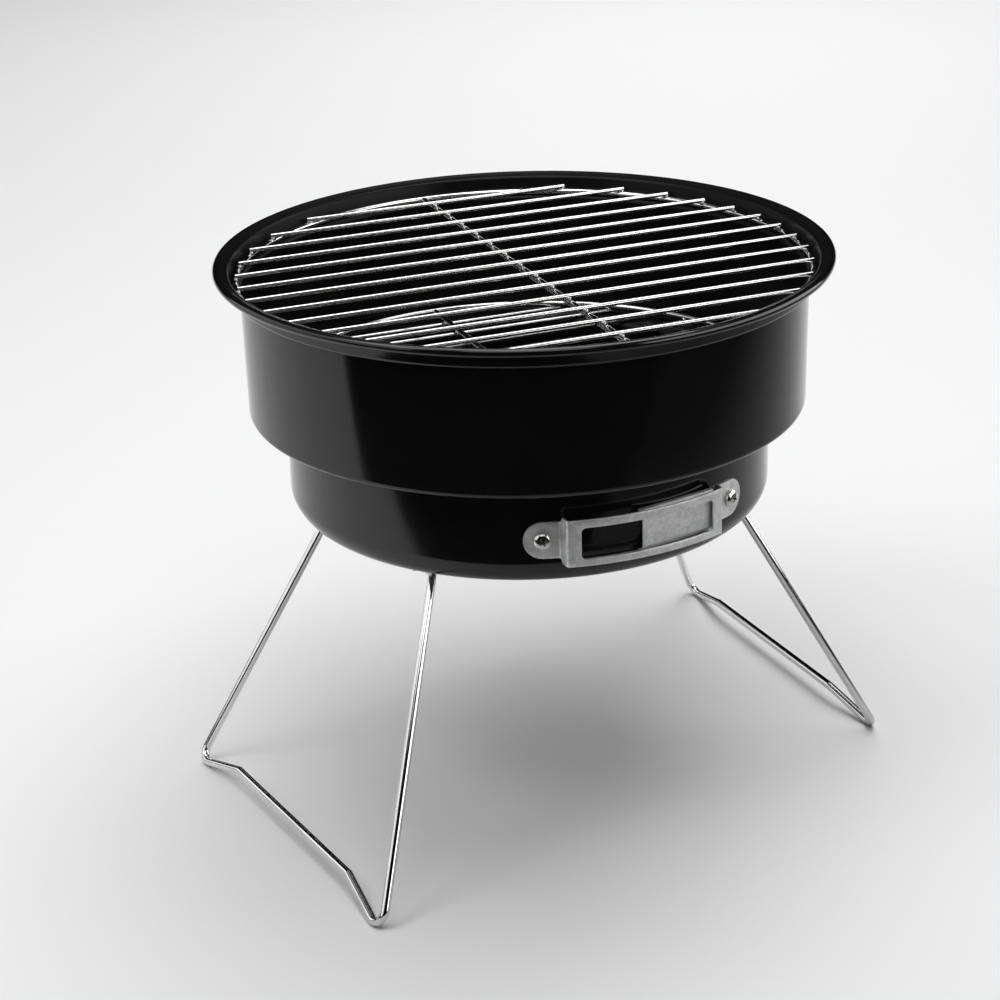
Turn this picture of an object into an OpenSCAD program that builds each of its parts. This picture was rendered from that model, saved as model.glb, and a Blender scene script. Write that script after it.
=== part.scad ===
// Portable tabletop charcoal grill: stepped enamelled bowl, two loose wire grates,
// a sliding air vent and two folding wire legs.
// Millimetres, +Z up. The origin is on the ground, under the bowl's axis.
// The legs stand apart along X, and the vent faces -Y.

/* [Bowl] */
// Radius to the outside of the rolled rim
rim_r = 142; // [130:0.5:155]
// Height of the top of the rolled rim above the ground
rim_top_z = 254.4; // [240:0.5:270]
// Outside radius of the upper drum just under the rim
upper_drum_r = 130.2; // [129.6:0.1:130.6]
// Amount by which the upper drum narrows from top to bottom, on the radius
upper_drum_taper = 0.6; // [0:0.1:0.8]
// Outside radius of the lower drum
lower_drum_r = 112.7; // [111:0.1:113.5]
// Height of the underside of the step between the drums
step_z = 183.7; // [182:0.1:186]
// Height of the underside of the bowl's flat bottom
bottom_z = 135.1; // [134.8:0.1:136]
// Radius of the bowl's bottom corner, outside
bottom_corner_r = 12; // [8:0.5:14]
// Thickness of the bowl's steel
steel_t = 0.9; // [0.7:0.1:1]

/* [Grates] */
// Turn of the two loose grates about the bowl's axis
grate_turn = -7.3; // [-12:0.1:12]
// Diameter of the wire of the rings and crossbars
ring_wire_d = 3; // [2.6:0.1:3.2]
// Diameter of the wire of the grate bars
bar_wire_d = 2.2; // [1.8:0.1:2.4]
// Radius of the cooking grate's ring, to the middle of its wire
cooking_ring_r = 131.7; // [130.8:0.1:131.8]
// Number of bars in the cooking grate
cooking_bar_count = 13; // [9:2:17]
// Distance between the cooking grate's bars
cooking_bar_pitch = 18.9; // [12:0.1:19]
// Distance of the cooking grate's crossbar from the middle of its bars
cooking_crossbar_offset = -1.6; // [-10:0.1:10]
// Radius of the charcoal grate's ring, to the middle of its wire
charcoal_ring_r = 125.3; // [124:0.1:125.6]
// Number of bars in the charcoal grate
charcoal_bar_count = 14; // [10:2:14]
// Distance between the charcoal grate's bars
charcoal_bar_pitch = 16.9; // [12:0.1:17]

/* [Vent] */
// Turn of the vent's two screws about the bowl's axis
vent_turn = -1.8; // [-5:0.1:5]
// Further turn of the raised frame, which sits a little off the middle of its screws
vent_frame_shift = -1.1; // [-1.5:0.1:1.5]
// Half of the angle that the raised frame takes up round the drum
vent_frame_half_angle = 18.6; // [18:0.1:19]
// Angle from the middle of the vent to each of its screws
vent_screw_angle = 24.6; // [24:0.1:26]
// Distance from the drum to the outside of the raised frame
vent_stand_off = 7.8; // [7.6:0.1:9]
// Height of the raised frame
vent_frame_h = 21.5; // [21:0.1:22]
// Height of the ears that the screws go through
vent_ear_h = 17; // [15:0.5:18]
// Height of the frame's window
vent_window_h = 14.6; // [13:0.1:15]
// Half of the width of the frame's window
vent_window_half_w = 32.6; // [30:0.1:33]
// Height of the middle of the vent above the ground
vent_z = 158; // [156:0.1:159]
// Thickness of the vent's steel
vent_t = 0.8; // [0.7:0.1:0.9]

/* [Legs] */
// Diameter of the leg wire
leg_wire_d = 4.1; // [3.6:0.1:4.2]
// Angle between a standing leg and the vertical
leg_splay = 28.1; // [26:0.1:30]
// Distance of the left hinge line from the bowl's axis
left_hinge_x = 78; // [76:0.1:88]
// Distance of the right hinge line from the bowl's axis
right_hinge_x = 86.4; // [76:0.1:88]
// Turn of the left hinge line about its middle
left_hinge_turn = 2; // [-5:0.1:5]
// Turn of the right hinge line about its middle
right_hinge_turn = -4; // [-5:0.1:5]
// Half of the width of a leg at its hinge line
leg_half_w = 47.4; // [46:0.1:50]
// How much wider a leg gets, on each side, for each unit of its length
leg_flare = 0.32; // [0.2:0.01:0.36]
// Sideways rake of a leg: its feet stand this far along the hinge line from its pivots
leg_rake = 20.4; // [0:0.1:22]
// Half of the length of the leg's raised cross wire
cross_wire_half_w = 56.7; // [54:0.1:62]
// Height of the cross wire above the feet, measured along the leg
cross_wire_rise = 8.1; // [8:0.1:14]

/* [Fasteners] */
// Diameter of every screw
screw_d = 4; // [3.8:0.1:4]
// Diameter of the screw heads
screw_head_d = 8; // [7:0.1:8.4]
// Height of the screw heads
screw_head_h = 2.6; // [2:0.1:2.8]
// Width of the nuts across their flats
nut_flats_w = 7; // [6.6:0.1:7.2]

/* [Hidden] */
$fn = 64;

// Gap left between pieces that touch
touch = 0.02;
// Gap left between flat metal and a rounded wall that it lies against
seat_gap = 0.05;

// Rim: a rolled bead, a lip that dips inwards, and a ledge for the cooking grate
bead_r = 2;
bead_z = rim_top_z - bead_r;
lip_top_z = rim_top_z - 0.5;
lip_inner_z = lip_top_z - 0.7;
lip_r = rim_r - 6.2;
ledge_z = rim_top_z - 10.9;
ledge_r = lip_r - 1.2;
cooking_ledge_top = ledge_z + steel_t;
charcoal_ledge_top = step_z + steel_t;

// Grates
ring_wire_r = ring_wire_d / 2;
bar_wire_r = bar_wire_d / 2;
cooking_ring_z = cooking_ledge_top + ring_wire_r + touch;
cooking_bar_z = cooking_ring_z + ring_wire_r + bar_wire_r + touch;
cooking_bar_end_r = cooking_ring_r + 0.8;
charcoal_bar_z = charcoal_ledge_top + bar_wire_r + touch;
charcoal_ring_z = charcoal_bar_z + bar_wire_r + ring_wire_r + touch;
charcoal_bar_end_r = charcoal_ring_r + ring_wire_r;

// Vent
frame_turn = vent_turn + vent_frame_shift;
frame_outer_r = lower_drum_r + vent_stand_off;
frame_inner_r = frame_outer_r - vent_t;
frame_half_w = frame_outer_r * sin(vent_frame_half_angle);
ear_inner_r = lower_drum_r + seat_gap;
ear_outer_r = ear_inner_r + vent_t;
ear_end_r = vent_ear_h / 2;
frame_bottom_z = vent_z - vent_frame_h / 2 + 0.4;
end_wall_depth = 16;
window_z = vent_z + 0.1;
window_corner_r = 2;
slider_turn = 4.8;
slider_half_w = 20;
slider_face_y = frame_inner_r - 2.6;
slider_flange_y = lower_drum_r + 0.5;
slider_lip = 2.4;
slider_h = vent_frame_h - vent_t - 1.2;
slider_bottom_z = frame_bottom_z + vent_t + 0.3;
air_slot_turn = -9.5;
air_slot_half_w = 11.5;
air_slot_h = 10;

// Leg hinges
leg_wire_r = leg_wire_d / 2;
pivot_z = bottom_z - 4.2;
leg_reach = (pivot_z - leg_wire_r) / cos(leg_splay);
strap_t = 1.2;
strap_w = 14;
strap_top = bottom_z - seat_gap;
ear_y = leg_half_w - 9;
ear_drop = 3.4;
stop_gap = 0.15;
stop_up = 3;
stop_down = 3;
stop_reach_y = leg_half_w + 3.5;
hinge_screw_y = 25;
hinge_bore_r = leg_wire_r + 0.06;
pin_end_y = ear_y - 3.5;

// Bends of the leg wire, and the cross wire's distance down the leg
side_bend_r = 5;
foot_bend_r = 5.5;
cross_bend_r = 4;
cross_wire_s = leg_reach - cross_wire_rise;

// Fasteners
screw_r = screw_d / 2;
clear_r = screw_r + 0.05;
nut_bore_r = screw_r + 0.03;
nut_h = 3.2;
washer_t = 0.8;
washer_r = 4.5;
recess_w = 0.9;
recess_l = 4.6;
recess_depth = 1.4;

// Points of an arc about [cx, cz], from angle a to angle b
function arc(cx, cz, r, a, b, n = 8) =
    [for (i = [0:n]) let (t = a + (b - a) * i / n) [cx + r * cos(t), cz + r * sin(t)]];

// The bowl's outline offset inwards by t from its outer face, from the axis up to the lip
function bowl_side(t, up_r, low_r) = concat(
    [[0, bottom_z + t]],
    arc(low_r - bottom_corner_r, bottom_z + bottom_corner_r, bottom_corner_r - t, -90, 0),
    arc(low_r + 2, step_z - 2, 2 + t, 180, 90),
    arc(up_r - upper_drum_taper - 2.4, step_z + 2.4, 2.4 - t, -90, 0),
    arc(up_r + 1.4, ledge_z - 1.4, 1.4 + t, 180, 90),
    arc(ledge_r - 1.5, ledge_z + 1.5, 1.5 - t, -90, 0),
    arc(lip_r + 1, lip_inner_z - 1 - steel_t, 1 + t, 172, 98)
);
function reversed(list) = [for (i = [len(list) - 1:-1:0]) list[i]];

// A wire that follows points in the XY plane, with a bend of radius bends[i] at each inner point
module wire_path(points, bends, wire_r) {
    sides = 16;
    steps = 6;
    last = len(points) - 1;
    function unit(v) = v / norm(v);
    function heading(i) = let (v = points[i + 1] - points[i]) atan2(v[1], v[0]);
    function turn(i) = let (d = heading(i) - heading(i - 1)) d - 360 * round(d / 360);
    function bend_start(i) = points[i]
        - unit(points[i] - points[i - 1]) * bends[i] * tan(abs(turn(i)) / 2);
    function left_of(angle) = [-sin(angle), cos(angle)];
    function bend_at(i, k) = let (
            side = sign(turn(i)) * bends[i],
            angle = heading(i - 1) + turn(i) * k / steps
        ) [bend_start(i) + side * (left_of(heading(i - 1)) - left_of(angle)), angle];
    stations = concat(
        [[points[0], heading(0)]],
        [for (i = [1:last - 1], k = [0:steps]) bend_at(i, k)],
        [[points[last], heading(last - 1)]]
    );
    ring_total = len(stations);
    polyhedron(
        points = [for (s = stations, k = [0:sides - 1])
            let (a = 360 * k / sides, flat = s[0] + left_of(s[1]) * wire_r * cos(a))
            [flat[0], flat[1], wire_r * sin(a)]],
        faces = concat(
            [[for (k = [0:sides - 1]) k]],
            [for (i = [0:ring_total - 2], k = [0:sides - 1])
                let (a = i * sides, b = a + sides, next = (k + 1) % sides)
                [a + k, b + k, b + next, a + next]],
            [[for (k = [sides - 1:-1:0]) (ring_total - 1) * sides + k]]
        )
    );
}

// Turns its children round the bowl's axis and lifts them by z; on the vent's middle they face -Y
module round_drum(angle, z) {
    translate([0, 0, z]) rotate([0, 0, angle]) children();
}

// A screw with a cross recess, its head under the origin and its shank going up
module screw(length) {
    difference() {
        union() {
            translate([0, 0, -screw_head_h]) cylinder(d = screw_head_d, h = screw_head_h * 0.45);
            translate([0, 0, -screw_head_h * 0.55]) cylinder(d = screw_head_d, h = screw_head_h * 0.55);
            cylinder(r = screw_r, h = length);
        }
        for (turn = [0, 90])
            rotate([0, 0, turn])
                translate([-recess_l / 2, -recess_w / 2, -screw_head_h - 1])
                    cube([recess_l, recess_w, recess_depth + 1]);
    }
}

module washer() {
    difference() {
        cylinder(r = washer_r, h = washer_t);
        translate([0, 0, -1]) cylinder(r = clear_r, h = washer_t + 2);
    }
}

module nut() {
    difference() {
        cylinder(d = nut_flats_w / cos(30), h = nut_h, $fn = 6);
        translate([0, 0, -1]) cylinder(r = nut_bore_r, h = nut_h + 2);
    }
}

// Children stand on the drum wall at each vent screw, with their +Z pointing to the bowl's axis
module at_vent_screws(radius) {
    for (side = [-1, 1])
        round_drum(vent_turn + side * vent_screw_angle, vent_z)
            translate([0, -radius, 0]) rotate([-90, 0, 0]) children();
}

// Children stand on the middle of one hinge line: +Y runs along it and +X points outwards
module at_hinge(side) {
    translate([side > 0 ? right_hinge_x : -left_hinge_x, 0, 0])
        rotate([0, 0, side > 0 ? right_hinge_turn : 180 + left_hinge_turn])
            children();
}

// Children stand at both screw places along a hinge line, at height z
module along_hinge(z) {
    for (end = [-1, 1])
        translate([0, end * hinge_screw_y, z]) children();
}

// ---- Bowl ----
module bowl() {
    color("black")
    difference() {
        rotate_extrude($fn = 128)
            union() {
                polygon(concat(
                    bowl_side(0, upper_drum_r, lower_drum_r),
                    [[rim_r - bead_r, lip_top_z - steel_t], [rim_r - bead_r, lip_top_z]],
                    reversed(bowl_side(steel_t, upper_drum_r, lower_drum_r))
                ));
                translate([rim_r - bead_r, bead_z]) circle(r = bead_r, $fn = 48);
            }
        at_vent_screws(lower_drum_r + 6) cylinder(r = clear_r, h = 12);
        round_drum(air_slot_turn, vent_z)
            air_slot();
        for (side = [-1, 1])
            at_hinge(side) along_hinge(bottom_z - 1) cylinder(r = clear_r, h = steel_t + 2);
    }
}

// Slot with round ends that lets air through the drum wall
module air_slot() {
    straight = air_slot_half_w - air_slot_h / 2;
    for (side = [-1, 1])
        translate([side * straight, -lower_drum_r + 6, 0])
            rotate([90, 0, 0]) cylinder(d = air_slot_h, h = 12);
    translate([-straight, -lower_drum_r - 6, -air_slot_h / 2])
        cube([2 * straight, 12, air_slot_h]);
}

// ---- Vent ----
// The bracket's pieces are placed from the middle of its raised frame
// Turn of a screw from the frame's middle
function screw_turn(side) = side * vent_screw_angle - vent_frame_shift;

// Part of a round wall, between two radii, standing on z = 0
module round_wall(inner_r, outer_r, height) {
    difference() {
        cylinder(r = outer_r, h = height, $fn = 128);
        translate([0, 0, -1]) cylinder(r = inner_r, h = height + 2, $fn = 128);
    }
}

// The raised frame's curved front, cut to its width
module frame_front() {
    intersection() {
        translate([0, 0, frame_bottom_z]) round_wall(frame_inner_r, frame_outer_r, vent_frame_h);
        translate([-frame_half_w, -frame_outer_r - 1, frame_bottom_z - 1])
            cube([2 * frame_half_w, 30, vent_frame_h + 2]);
    }
}

// Window with rounded corners, cut straight through the front
module window_cut() {
    straight_w = vent_window_half_w - window_corner_r;
    straight_h = vent_window_h / 2 - window_corner_r;
    depth = 30;
    translate([0, -frame_outer_r + depth / 2, window_z])
    rotate([90, 0, 0]) {
        for (x = [-straight_w, straight_w], z = [-straight_h, straight_h])
            translate([x, z, 0]) cylinder(r = window_corner_r, h = depth);
        translate([-vent_window_half_w, -straight_h, 0])
            cube([2 * vent_window_half_w, 2 * straight_h, depth]);
        translate([-straight_w, -vent_window_h / 2, 0])
            cube([2 * straight_w, vent_window_h, depth]);
    }
}

// Wall that joins one end of the frame's front to the drum
module frame_end_wall(side) {
    intersection() {
        translate([0, 0, frame_bottom_z]) round_wall(ear_inner_r, frame_inner_r + 0.1, vent_frame_h);
        translate([side > 0 ? frame_half_w - vent_t : -frame_half_w, -frame_outer_r - 1, frame_bottom_z])
            cube([vent_t, end_wall_depth, vent_frame_h]);
    }
}

// Shelf along the frame's bottom edge, which the slider runs on
module frame_shelf() {
    intersection() {
        translate([0, 0, frame_bottom_z]) round_wall(lower_drum_r + 1, frame_inner_r + 0.1, vent_t);
        translate([-frame_half_w, -frame_outer_r - 1, 0]) cube([2 * frame_half_w, 30, 400]);
    }
}

// One ear against the drum: from the frame's end wall out to its round end
module frame_ear(side) {
    intersection() {
        translate([0, 0, vent_z - vent_ear_h / 2]) round_wall(ear_inner_r, ear_outer_r, vent_ear_h);
        union() {
            round_drum(screw_turn(side), vent_z)
                translate([0, -ear_inner_r + 10, 0]) rotate([90, 0, 0]) cylinder(r = ear_end_r, h = 20);
            round_drum(screw_turn(side), vent_z)
                translate([side > 0 ? -20 : 0, -ear_inner_r - 10, -ear_end_r])
                    cube([20, 20, 2 * ear_end_r]);
        }
        translate([side > 0 ? frame_half_w - vent_t : -frame_half_w - 40, -ear_outer_r - 10, 0])
            cube([40 + vent_t, 40, 400]);
    }
}

module vent_bracket() {
    color("silver")
    round_drum(frame_turn, 0)
    difference() {
        union() {
            frame_front();
            for (side = [-1, 1]) {
                frame_end_wall(side);
                frame_ear(side);
            }
            frame_shelf();
        }
        window_cut();
        for (side = [-1, 1])
            round_drum(screw_turn(side), vent_z)
                translate([0, -ear_inner_r + 5, 0]) rotate([90, 0, 0]) cylinder(r = clear_r, h = 10);
    }
}

// Section of the slider: a channel with sloping lips, open towards the drum
function slider_section(t) = [
    [slider_flange_y, 0 + t], [slider_face_y - slider_lip, 0 + t],
    [slider_face_y - t, slider_lip + t * 0.4], [slider_face_y - t, slider_h - slider_lip - t * 0.4],
    [slider_face_y - slider_lip, slider_h - t], [slider_flange_y, slider_h - t]
];

module vent_slider() {
    color("gainsboro")
    round_drum(slider_turn, slider_bottom_z)
        translate([slider_half_w, 0, 0])
            rotate([0, 0, 180]) rotate([90, 0, 90])
                linear_extrude(2 * slider_half_w)
                    polygon(concat(slider_section(0), reversed(slider_section(vent_t))));
}

module vent_screws() {
    color("silver")
    at_vent_screws(ear_outer_r + touch) screw(10);
}

module vent_washers() {
    color("silver")
    at_vent_screws(lower_drum_r - steel_t - 0.12) washer();
}

module vent_nuts() {
    color("silver")
    at_vent_screws(lower_drum_r - steel_t - 0.12 - washer_t - touch) nut();
}

// ---- Legs ----
// One leg wire in its own plane: X across the leg, Y down the leg, its pivots on Y = 0
module leg_wire() {
    function raked(y, s) = [y + leg_rake * s / leg_reach, s];
    function foot_corner(side, s) = raked(side * (leg_half_w + leg_flare * s), s);
    function crank_end(side) = raked(side * cross_wire_half_w, cross_wire_s);
    function side_points(side) = [
        [side * pin_end_y, 0],
        [side * leg_half_w, 0],
        foot_corner(side, foot_corner_s(side, leg_reach + foot_bend_r, 6)),
        crank_end(side)
    ];
    // Distance from a foot's sharp corner down to the lowest point of its bend
    function bend_drop(side, s) = let (
            corner = foot_corner(side, s),
            inward = (corner - [side * leg_half_w, 0]) / norm(corner - [side * leg_half_w, 0]),
            outward = (crank_end(side) - corner) / norm(crank_end(side) - corner),
            turn = acos(inward * outward),
            across = (outward - inward * cos(turn)) / sin(turn)
        ) foot_bend_r * (across[1] + 1 - inward[1] * tan(turn / 2));
    // Distance down the leg of the corner that puts the bend's lowest point at the leg's reach
    function foot_corner_s(side, s, rounds) = rounds == 0 ? s
        : foot_corner_s(side, leg_reach - bend_drop(side, s), rounds - 1);
    wire_path(
        concat(side_points(-1), reversed(side_points(1))),
        [0, side_bend_r, foot_bend_r, cross_bend_r, cross_bend_r, foot_bend_r, side_bend_r, 0],
        leg_wire_r
    );
}

// A standing leg: the same wire serves both sides
module standing_leg(side) {
    at_hinge(side)
        translate([0, 0, pivot_z])
            rotate([0, 90 - leg_splay, 0])
                rotate([0, 0, -90]) mirror([1, 0, 0])
                    leg_wire();
}

module left_leg() {
    color("lightgray") standing_leg(-1);
}

module right_leg() {
    color("lightgray") standing_leg(1);
}

// Children stand on the hinge line, leaning with the leg, so that +Z runs up along it
module leaning() {
    translate([0, 0, pivot_z]) rotate([0, -leg_splay, 0]) children();
}

// Ear at one end of a strap, trimmed to the slope of the standing leg
module strap_ear(end) {
    intersection() {
        translate([-6, end * ear_y - strap_t / 2, pivot_z - ear_drop])
            cube([20, strap_t, strap_top - pivot_z + ear_drop]);
        leaning() translate([-30, -100, -30]) cube([30 + leg_wire_r + stop_gap + strap_t, 200, 60]);
    }
}

// Plate bent out of an ear, which the standing leg leans on
module strap_stop(end) {
    intersection() {
        leaning()
            translate([leg_wire_r + stop_gap, end > 0 ? ear_y - strap_t / 2 : -stop_reach_y, -stop_down])
                cube([strap_t, stop_reach_y - ear_y + strap_t / 2, stop_down + stop_up + 2]);
        translate([-100, -100, 0]) cube([200, 200, strap_top]);
    }
}

// Bent strap that carries both pivots of one leg
module hinge_strap() {
    difference() {
        union() {
            translate([-strap_w / 2, -ear_y - strap_t / 2, strap_top - strap_t])
                cube([strap_w, 2 * ear_y + strap_t, strap_t]);
            for (end = [-1, 1]) {
                strap_ear(end);
                strap_stop(end);
            }
        }
        translate([0, -ear_y - 5, pivot_z]) rotate([-90, 0, 0])
            cylinder(r = hinge_bore_r, h = 2 * ear_y + 10);
        along_hinge(bottom_z - 5) cylinder(r = clear_r, h = 10);
    }
}

module left_hinge_strap() {
    color("silver") at_hinge(-1) hinge_strap();
}

module right_hinge_strap() {
    color("silver") at_hinge(1) hinge_strap();
}

module hinge_screws(side) {
    color("silver")
    at_hinge(side) along_hinge(strap_top - strap_t - touch) screw(9);
}

module hinge_washers(side) {
    color("silver")
    at_hinge(side) along_hinge(bottom_z + steel_t + touch) washer();
}

module hinge_nuts(side) {
    color("silver")
    at_hinge(side) along_hinge(bottom_z + steel_t + washer_t + 2 * touch) nut();
}

// ---- Grates ----
module grate_ring(radius, z) {
    rotate([0, 0, grate_turn]) translate([0, 0, z])
        rotate_extrude($fn = 128) translate([radius, 0]) circle(r = ring_wire_r, $fn = 32);
}

// Parallel bars, each as long as the circle of radius end_r is wide at its place
module grate_bars(count, pitch, end_r, z) {
    for (i = [0:count - 1]) {
        y = (i - (count - 1) / 2) * pitch;
        half_length = sqrt(end_r * end_r - y * y);
        rotate([0, 0, grate_turn]) translate([-half_length, y, z])
            rotate([0, 90, 0]) cylinder(r = bar_wire_r, h = 2 * half_length, $fn = 32);
    }
}

// The bar that crosses under or over the others, between two sides of its ring
module grate_crossbar(radius, z, offset = 0) {
    inner_r = radius - ring_wire_r - seat_gap;
    half_length = sqrt(inner_r * inner_r - pow(abs(offset) + ring_wire_r, 2));
    rotate([0, 0, grate_turn]) translate([offset, -half_length, z])
        rotate([-90, 0, 0]) cylinder(r = ring_wire_r, h = 2 * half_length, $fn = 32);
}

module cooking_grate_ring() {
    color("silver") grate_ring(cooking_ring_r, cooking_ring_z);
}

module cooking_grate_bars() {
    color("silver")
    grate_bars(cooking_bar_count, cooking_bar_pitch, cooking_bar_end_r, cooking_bar_z);
}

module cooking_grate_crossbar() {
    color("silver") grate_crossbar(cooking_ring_r, cooking_ring_z, cooking_crossbar_offset);
}

module charcoal_grate_ring() {
    color("silver") grate_ring(charcoal_ring_r, charcoal_ring_z);
}

module charcoal_grate_bars() {
    color("silver")
    grate_bars(charcoal_bar_count, charcoal_bar_pitch, charcoal_bar_end_r, charcoal_bar_z);
}

module charcoal_grate_crossbar() {
    color("silver") grate_crossbar(charcoal_ring_r, charcoal_ring_z);
}

bowl();
vent_bracket();
vent_slider();
vent_screws();
vent_washers();
vent_nuts();
left_leg();
right_leg();
left_hinge_strap();
right_hinge_strap();
hinge_screws(-1);  // left_hinge_screws
hinge_washers(-1);  // left_hinge_washers
hinge_nuts(-1);  // left_hinge_nuts
hinge_screws(1);  // right_hinge_screws
hinge_washers(1);  // right_hinge_washers
hinge_nuts(1);  // right_hinge_nuts
cooking_grate_ring();
cooking_grate_bars();
cooking_grate_crossbar();
charcoal_grate_ring();
charcoal_grate_bars();
charcoal_grate_crossbar();
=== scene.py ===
import math
import random

import bmesh
import bpy
from mathutils import Matrix, Vector


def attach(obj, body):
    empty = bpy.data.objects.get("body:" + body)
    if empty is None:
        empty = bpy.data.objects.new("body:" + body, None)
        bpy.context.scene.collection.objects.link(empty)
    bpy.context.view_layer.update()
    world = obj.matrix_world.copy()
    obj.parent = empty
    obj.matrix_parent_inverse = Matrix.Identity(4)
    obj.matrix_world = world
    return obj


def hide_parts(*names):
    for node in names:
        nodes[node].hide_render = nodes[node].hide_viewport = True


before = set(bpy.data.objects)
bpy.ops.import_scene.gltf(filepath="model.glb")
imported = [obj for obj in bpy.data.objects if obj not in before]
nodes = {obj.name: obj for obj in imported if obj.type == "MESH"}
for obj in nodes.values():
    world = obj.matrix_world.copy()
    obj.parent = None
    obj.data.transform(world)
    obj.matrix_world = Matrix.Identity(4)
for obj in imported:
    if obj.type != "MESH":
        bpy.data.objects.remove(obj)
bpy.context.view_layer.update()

MM = 0.001

# ---- Sizes in millimetres, the same as the CAD part's ----
RIM_R, RIM_TOP = 142.0, 254.4
BEAD_R = 2.0
STEEL = 0.9
UPPER_R, UPPER_TAPER = 130.2, 0.6
LOWER_R = 112.7
STEP_Z, BOTTOM_Z = 183.7, 135.1
CORNER_R = 12.0
BOWL_SEGMENTS = 288
# Bend radii up the bowl's side: the step's inner and outer bend, the bend under the ledge,
# the ledge's corner and the lip's edge
STEP_IN_R, STEP_OUT_R, COVE_R, LEDGE_BEND_R, LIP_BEND_R = 2.0, 2.4, 1.4, 1.5, 1.0
LEDGE_Z = RIM_TOP - 10.9
LIP_R = RIM_R - 6.2
LEDGE_R = LIP_R - 1.2
LIP_TOP = RIM_TOP - 0.5
LIP_INNER = LIP_TOP - 0.7

GRATE_TURN = math.radians(-7.3)
RING_WIRE, BAR_WIRE = 1.5, 1.1
COOK_RING_R, COOK_RING_Z = 131.7, LEDGE_Z + STEEL + 1.52
COOK_BAR_Z = COOK_RING_Z + RING_WIRE + BAR_WIRE + 0.02
COOK_BARS, COOK_PITCH, COOK_END_R = 13, 18.9, 132.5
COOK_CROSS_X = -1.6
COAL_RING_R = 125.3
COAL_BAR_Z = STEP_Z + STEEL + 1.12
COAL_RING_Z = COAL_BAR_Z + RING_WIRE + BAR_WIRE + 0.02
COAL_BARS, COAL_PITCH, COAL_END_R = 14, 16.9, 126.8
# Half sizes of the weld nuggets on the ring and on the crossbar
RING_WELD, CROSS_WELD = (1.25, 1.0, 0.6), (1.15, 1.1, 0.6)
# The range, drawn at random, by which a bar's end stops short of its grate's outline
END_SCATTER = (-0.1, 0.5)

VENT_Z = 158.0
VENT_T = 0.8
VENT_TURN = math.radians(-1.8)
FRAME_SHIFT = math.radians(-1.1)
FRAME_R = LOWER_R + 7.8
FRAME_HALF_ANGLE = math.radians(18.6)
FRAME_HALF_W = FRAME_R * math.sin(FRAME_HALF_ANGLE)
FRAME_H = 21.5
FRAME_BOTTOM = VENT_Z - FRAME_H / 2 + 0.4
EAR_R = LOWER_R + 0.05 + VENT_T
EAR_H = 17.0
# Bend radii where an ear meets the frame's end wall and where that wall meets the front, and how
# far from those corners the ear, the front and the front's flange keep their even run
EAR_BEND, FRONT_BEND = 1.0, 1.7
EAR_BEND_REACH, FRONT_BEND_REACH, FLANGE_END_GAP = 2.2, 3.2, 3.6
SHEET_BEVEL = 0.12
SCREW_ANGLE = math.radians(24.6)
WINDOW_HALF_W, WINDOW_H, WINDOW_CORNER = 32.6, 14.6, 2.0
WINDOW_Z = VENT_Z + 0.1
SLIDER_TURN = math.radians(4.8)
SLIDER_HALF_W = 20.0
SLIDER_FACE = FRAME_R - VENT_T - 2.6
SLIDER_FLANGE = LOWER_R + 0.5
SLIDER_LIP = 2.4
SLIDER_BOTTOM, SLIDER_H = FRAME_BOTTOM + VENT_T + 0.3, FRAME_H - VENT_T - 1.2
AIR_SLOT_TURN = math.radians(-9.5)
AIR_SLOT_HALF_W, AIR_SLOT_H = 11.5, 10.0

LEG_WIRE = 2.05
SPLAY = math.radians(28.1)
PIVOT_Z = BOTTOM_Z - 4.2
# Each hinge line's middle, as X and its turn, by side
HINGES = {-1: (-78.0, math.radians(182)), 1: (86.4, math.radians(-4))}
LEG_HALF_W, LEG_RAKE, LEG_FLARE = 47.4, 20.4, 0.32
LEG_REACH = (PIVOT_Z - LEG_WIRE) / math.cos(SPLAY)
CROSS_HALF_W, CROSS_RISE = 56.7, 8.1
PIN_END = LEG_HALF_W - 9 - 3.5
SIDE_BEND, FOOT_BEND, CROSS_BEND = 5.0, 5.5, 4.0

SCREW_HEAD_R, SCREW_HEAD_H, SCREW_R = 4.0, 2.6, 2.0
SCREW_BORE_R = SCREW_R + 0.05
RECESS_TURN = 0.35
VENT_SCREW_LENGTH, HINGE_SCREW_LENGTH = 10, 9
HINGE_SCREW_Y = 25.0
# The underside of a hinge strap, where its screws' heads sit
STRAP_UNDER_Z = BOTTOM_Z - 1.27


# ---- Mesh helpers ----
def finished_mesh(obj, sharp_deg=32):
    """Applies the piece's modifiers and shades it smooth between its sharp edges."""
    graph = bpy.context.evaluated_depsgraph_get()
    mesh = bpy.data.meshes.new_from_object(obj.evaluated_get(graph))
    obj.modifiers.clear()
    obj.data = mesh
    mesh.shade_smooth()
    mesh.set_sharp_from_angle(angle=math.radians(sharp_deg))
    return obj


def add_object(name, data):
    """A new object in the scene that shows this data."""
    obj = bpy.data.objects.new(name, data)
    bpy.context.scene.collection.objects.link(obj)
    return obj


def mesh_in_mm(name, verts, faces):
    """A mesh from points in millimetres."""
    mesh = bpy.data.meshes.new(name)
    mesh.from_pydata([Vector(v) * MM for v in verts], [], faces)
    return mesh


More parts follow.
